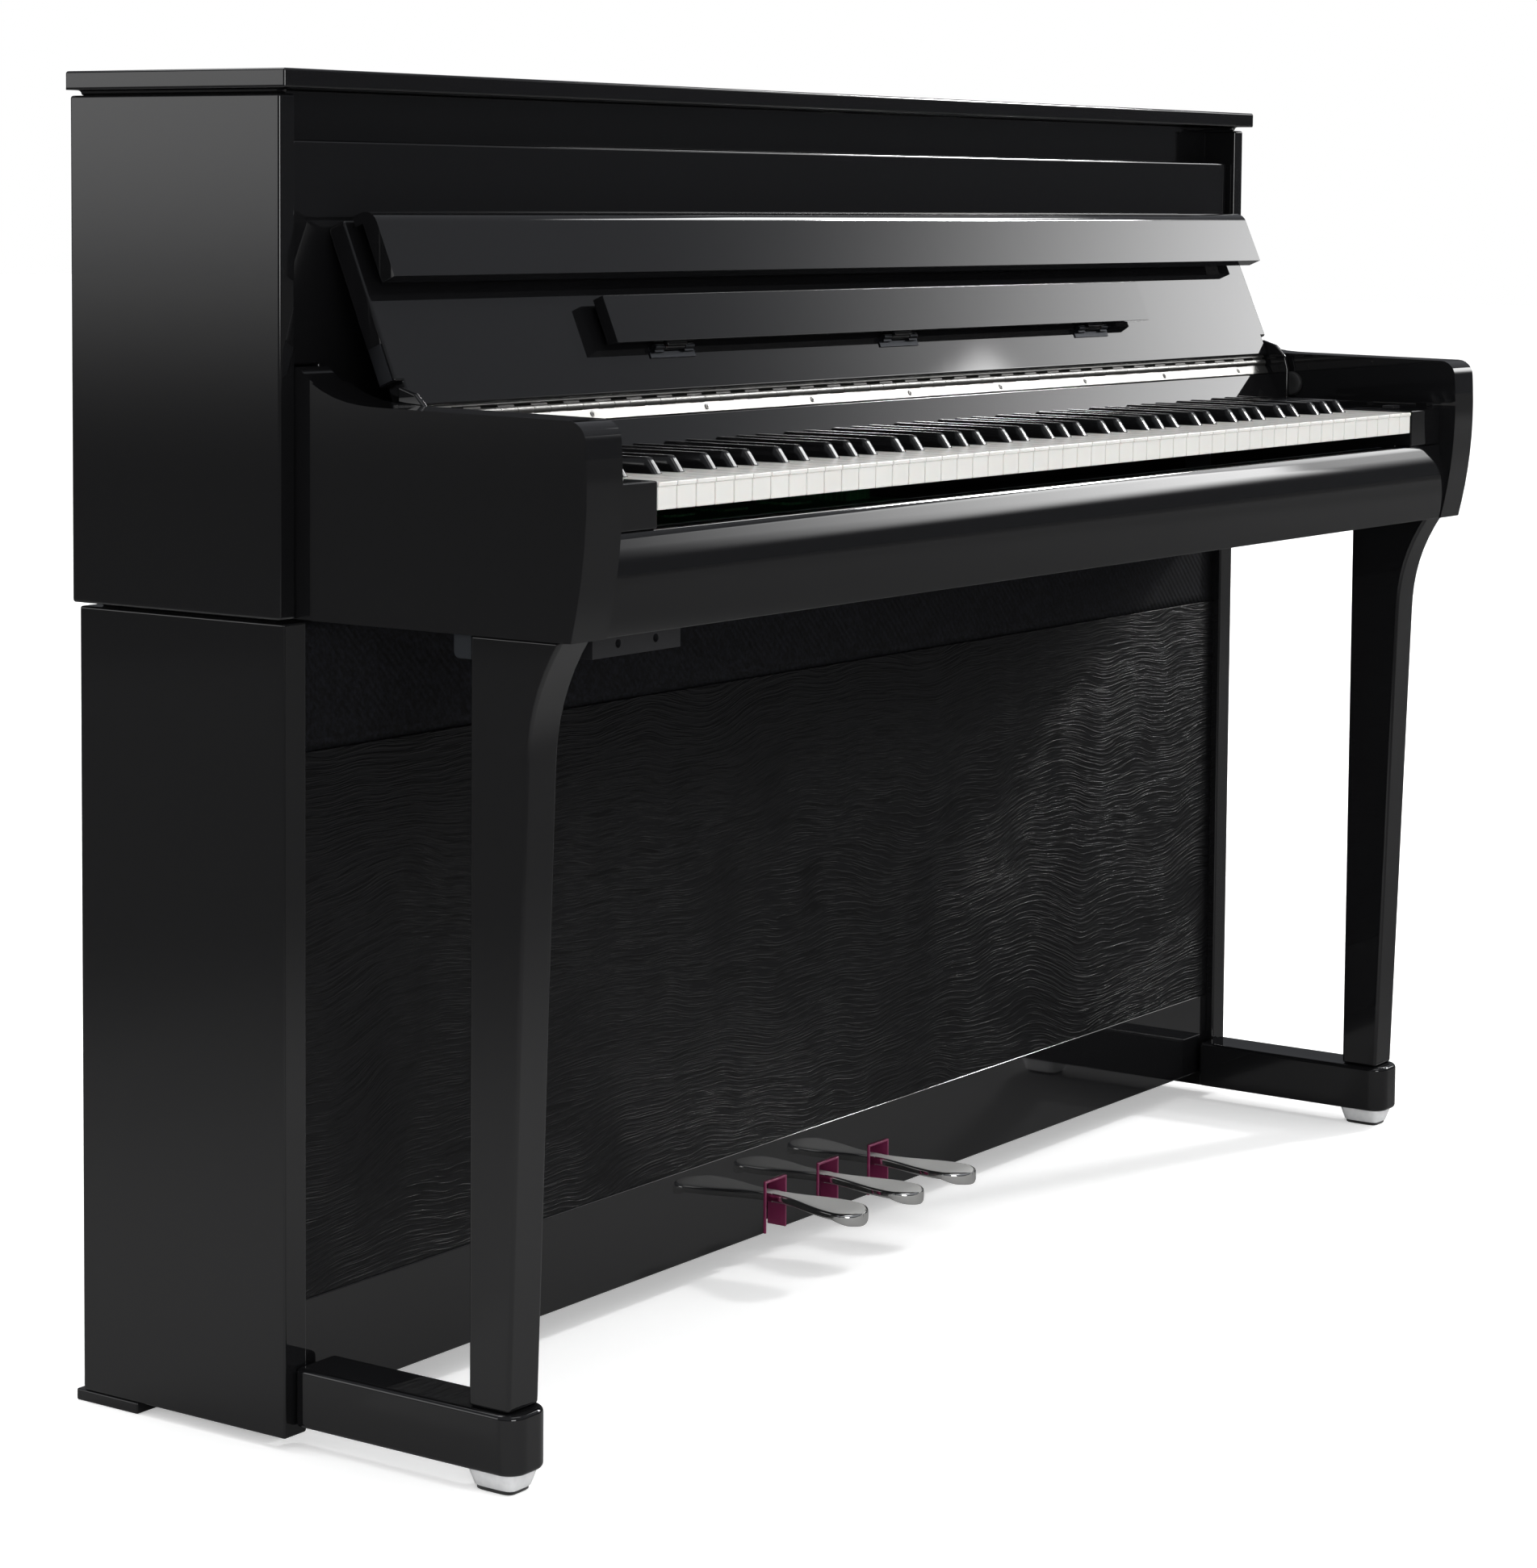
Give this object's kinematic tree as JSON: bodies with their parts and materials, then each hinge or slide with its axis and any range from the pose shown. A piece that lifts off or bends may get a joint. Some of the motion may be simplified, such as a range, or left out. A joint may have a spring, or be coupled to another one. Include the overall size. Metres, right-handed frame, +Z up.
{
  "type": "upright piano",
  "caption": "Digital upright piano in polished black, with a hinged key cover and folding flap, music rest, full keyboard, three pedals and front legs on toe beams.",
  "frame": {"origin": "centre of the overall bounding box, on the floor", "axes": "+X to the player's right, -Y towards the player, +Z up"},
  "size_m": [1.47, 0.482, 1.013],
  "materials": {
    "polished_black": "black polyester lacquer, high gloss",
    "satin_black": "black lacquer, satin",
    "rear_board": "black foil on board, matte",
    "grained_panel": "open-pore black stained veneer, matte",
    "speaker_cloth": "woven speaker cloth",
    "keybed_board": "painted board",
    "glide_metal": "light grey, satin",
    "glide_felt": "felt",
    "hinge_steel": "nickel plated, satin",
    "dark_steel": "dark, satin",
    "bumper_rubber": "matte",
    "pedal_metal": "cast, satin plated top and polished nose",
    "lining_plastic": "moulded, wine red",
    "key_frame_steel": "zinc plated",
    "white_key_resin": "moulded, semi-gloss",
    "black_key_resin": "moulded, satin",
    "speaker_parts": "matte black",
    "circuit_board": "green solder mask",
    "control_plastic": "moulded, satin"
  },
  "bodies": {
    "cabinet": {"top_lid": "polished_black", "top_fascia": "satin_black", "upper_front_panel": "polished_black", "left_upper_side": "polished_black", "right_upper_side": "polished_black", "upper_rear_panel": "rear_board", "left_lower_side": "polished_black", "right_lower_side": "polished_black", "lower_rear_panel": "rear_board", "lower_front_panel": "grained_panel", "speaker_grille": "speaker_cloth", "kickboard": "polished_black", "keybed": "keybed_board", "key_slip": "polished_black", "left_arm": "polished_black", "right_arm": "polished_black", "key_blocks": "satin_black", "left_leg": "polished_black", "right_leg": "polished_black", "left_toe_beam": "polished_black", "right_toe_beam": "polished_black", "glide_caps": "glide_metal", "glide_pads": "glide_felt", "rear_foot_plates": "rear_board", "leg_brackets": "dark_steel", "name_board": "polished_black", "cover_rail": "satin_black", "hinge_fixed_leaf": "hinge_steel", "hinge_pin": "hinge_steel", "cover_cheeks": "satin_black", "cover_bumpers": "bumper_rubber", "pedal_shaft": "hinge_steel", "pedal_frame": "dark_steel", "pedal_springs": "hinge_steel", "pedal_slot_linings": "lining_plastic", "key_frame": "key_frame_steel", "key_pivot_rod": "hinge_steel", "speakers": "speaker_parts", "main_circuit_board": "circuit_board", "ac_inlet": "control_plastic", "jack_panel": "satin_black"},
    "key_cover": {"key_cover_board": "polished_black", "hinge_moving_leaf": "hinge_steel", "cover_end_plates": "dark_steel", "flap_hinge": "hinge_steel", "music_rest_hinges": "hinge_steel"},
    "cover_flap": {"key_cover_flap": "polished_black"},
    "music_rest": {"music_rest": "polished_black"},
    "soft_pedal": {"soft_pedal": "pedal_metal"},
    "sostenuto_pedal": {"sostenuto_pedal": "pedal_metal"},
    "damper_pedal": {"damper_pedal": "pedal_metal"},
    "white_keys": {"white_keys": "white_key_resin"},
    "black_keys": {"black_keys": "black_key_resin"},
    "key_c4": {"key_c4": "white_key_resin"},
    "key_c_sharp4": {"key_c_sharp4": "black_key_resin"},
    "key_d4": {"key_d4": "white_key_resin"},
    "key_d_sharp4": {"key_d_sharp4": "black_key_resin"},
    "key_e4": {"key_e4": "white_key_resin"},
    "power_button": {"power_button": "control_plastic"},
    "volume_slider": {"volume_slider": "control_plastic"}
  },
  "joints": [
    {"name": "key_cover_hinge", "type": "hinge", "parent": "cabinet", "child": "key_cover", "pos_m": [0, -0.038, 0.7625], "axis": [1, 0, 0], "range_deg": [0, 117]},
    {"name": "cover_flap_hinge", "type": "hinge", "parent": "key_cover", "child": "cover_flap", "pos_m": [0, 0.01307, 0.90653], "axis": [-1, 0, 0], "range_deg": [0, 150]},
    {"name": "music_rest_hinge", "type": "hinge", "parent": "key_cover", "child": "music_rest", "pos_m": [0, -0.03058, 0.80469], "axis": [-1, 0, 0], "range_deg": [-90, 0]},
    {"name": "soft_pedal_hinge", "type": "hinge", "parent": "cabinet", "child": "soft_pedal", "pos_m": [-0.0815, 0.15, 0.056], "axis": [1, 0, 0], "range_deg": [0, 4.5], "stiffness_Nm_per_rad": 25, "springref_deg": -5.73},
    {"name": "sostenuto_pedal_hinge", "type": "hinge", "parent": "cabinet", "child": "sostenuto_pedal", "pos_m": [0, 0.15, 0.056], "axis": [1, 0, 0], "range_deg": [0, 4.5], "stiffness_Nm_per_rad": 25, "springref_deg": -5.73},
    {"name": "damper_pedal_hinge", "type": "hinge", "parent": "cabinet", "child": "damper_pedal", "pos_m": [0.0815, 0.15, 0.056], "axis": [1, 0, 0], "range_deg": [0, 4.5], "stiffness_Nm_per_rad": 25, "springref_deg": -5.73},
    {"name": "white_keys_hinge", "type": "hinge", "parent": "cabinet", "child": "white_keys", "pos_m": [0, 0.01, 0.708], "axis": [1, 0, 0], "range_deg": [0, 2.44], "stiffness_Nm_per_rad": 40, "springref_deg": -4.58},
    {"name": "black_keys_hinge", "type": "hinge", "parent": "cabinet", "child": "black_keys", "pos_m": [0, 0.01, 0.708], "axis": [1, 0, 0], "range_deg": [0, 2.44], "stiffness_Nm_per_rad": 25, "springref_deg": -4.58},
    {"name": "key_c4_hinge", "type": "hinge", "parent": "cabinet", "child": "key_c4", "pos_m": [0, 0.01, 0.708], "axis": [1, 0, 0], "range_deg": [0, 2.44], "stiffness_Nm_per_rad": 1.2, "springref_deg": -4.58},
    {"name": "key_c_sharp4_hinge", "type": "hinge", "parent": "cabinet", "child": "key_c_sharp4", "pos_m": [0, 0.01, 0.708], "axis": [1, 0, 0], "range_deg": [0, 2.44], "stiffness_Nm_per_rad": 1.2, "springref_deg": -4.58},
    {"name": "key_d4_hinge", "type": "hinge", "parent": "cabinet", "child": "key_d4", "pos_m": [0, 0.01, 0.708], "axis": [1, 0, 0], "range_deg": [0, 2.44], "stiffness_Nm_per_rad": 1.2, "springref_deg": -4.58},
    {"name": "key_d_sharp4_hinge", "type": "hinge", "parent": "cabinet", "child": "key_d_sharp4", "pos_m": [0, 0.01, 0.708], "axis": [1, 0, 0], "range_deg": [0, 2.44], "stiffness_Nm_per_rad": 1.2, "springref_deg": -4.58},
    {"name": "key_e4_hinge", "type": "hinge", "parent": "cabinet", "child": "key_e4", "pos_m": [0, 0.01, 0.708], "axis": [1, 0, 0], "range_deg": [0, 2.44], "stiffness_Nm_per_rad": 1.2, "springref_deg": -4.58},
    {"name": "power_button_press", "type": "slide", "parent": "cabinet", "child": "power_button", "axis": [0, 0, -1], "range_m": [0, 0.0015], "stiffness_N_per_m": 300, "springref_m": -0.001},
    {"name": "volume_slide", "type": "slide", "parent": "cabinet", "child": "volume_slider", "axis": [0, 1, 0], "range_m": [0, 0.034]}
  ],
  "couplings": [
    {"joint": "cover_flap_hinge", "follows": "key_cover_hinge", "ratio": 1.282}
  ]
}
